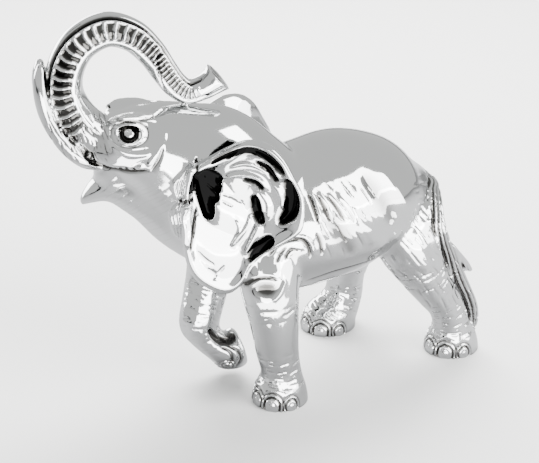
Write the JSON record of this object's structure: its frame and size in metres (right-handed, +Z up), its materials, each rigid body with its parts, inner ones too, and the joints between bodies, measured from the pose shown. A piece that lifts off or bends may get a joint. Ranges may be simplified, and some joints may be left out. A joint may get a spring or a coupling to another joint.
{
  "type": "resin elephant figurine",
  "caption": "Striding elephant ornament with raised, looped trunk, spread ears and one lifted forefoot, cast in one piece and finished in bright silver.",
  "frame": {"origin": "on the ground under the middle of the figure's bounding box", "axes": "+Z up; the elephant walks towards -X and its left side faces -Y"},
  "size_m": [0.2154, 0.0856, 0.198],
  "materials": {
    "silver_laminate": "mirror-bright silver leaf laminated over cast resin, clear sealed"
  },
  "bodies": {
    "root": {"elephant": "silver_laminate"}
  },
  "joints": []
}
